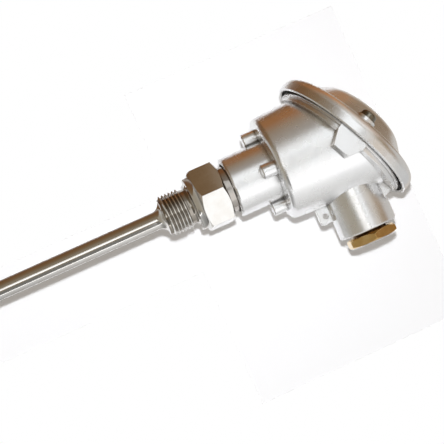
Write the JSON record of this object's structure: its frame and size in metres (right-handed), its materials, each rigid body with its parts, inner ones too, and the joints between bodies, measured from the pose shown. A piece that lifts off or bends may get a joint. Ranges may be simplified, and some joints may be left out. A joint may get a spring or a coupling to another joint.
{
  "type": "resistance thermometer probe with connection head",
  "caption": "Screw-in temperature probe: slim steel stem, threaded hexagon, and a cast metal head with a slanted round lid and a side cable gland.",
  "frame": {"origin": "middle of the process thread, on the probe's axis", "axes": "+Z along the probe's axis towards the head, +X towards the cable entry"},
  "size_m": [0.0905, 0.0804, 0.2664],
  "materials": {
    "stainless": "turned and polished",
    "head_paint": "satin silver",
    "gasket_rubber": "matt",
    "plated_screw": "bright plated",
    "plated_gland": "bright plated",
    "ceramic": "unglazed ceramic",
    "bare_wire": "bare nickel",
    "brass": "machined",
    "spring_steel": "drawn wire"
  },
  "bodies": {
    "housing": {"thermowell": "stainless", "head_body": "head_paint", "lid_gasket": "gasket_rubber", "gland_washer_outer": "plated_screw", "gland_seal": "gasket_rubber", "gland_washer_inner": "plated_screw", "insert_screws": "plated_screw", "insert_springs": "spring_steel", "earth_clamp": "plated_screw", "earth_screw": "plated_screw"},
    "insert": {"insert_plate": "stainless", "insert_sheath": "stainless", "sheath_filling": "ceramic", "sensing_element": "ceramic", "lead_wires": "bare_wire", "terminal_block": "ceramic", "terminal_clamps": "brass", "terminal_screws": "plated_screw"},
    "cover": {"lid": "head_paint", "lid_screw_washers": "plated_screw"},
    "near_screw": {"lid_screw_near": "plated_screw"},
    "far_screw": {"lid_screw_far": "plated_screw"},
    "gland": {"gland_screw": "plated_gland"}
  },
  "joints": [
    {"name": "insert_travel", "type": "slide", "parent": "housing", "child": "insert", "axis": [0, 0, 1], "range_m": [0, 0.006], "stiffness_N_per_m": 1500, "springref_m": -0.004, "deforming": ["insert_springs"]},
    {"name": "lid_lift", "type": "slide", "parent": "housing", "child": "cover", "axis": [-0.4384, 0, 0.8988], "range_m": [0, 0.04]},
    {"name": "near_screw_turn", "type": "hinge", "parent": "cover", "child": "near_screw", "pos_m": [0.00135, -0.0324, 0.09036], "axis": [-0.4384, 0, 0.8988], "continuous": true},
    {"name": "far_screw_turn", "type": "hinge", "parent": "cover", "child": "far_screw", "pos_m": [0.00135, 0.0324, 0.09036], "axis": [-0.4384, 0, 0.8988], "continuous": true},
    {"name": "gland_turn", "type": "hinge", "parent": "housing", "child": "gland", "pos_m": [0.047, 0, 0.0852], "axis": [1, 0, 0], "continuous": true}
  ]
}
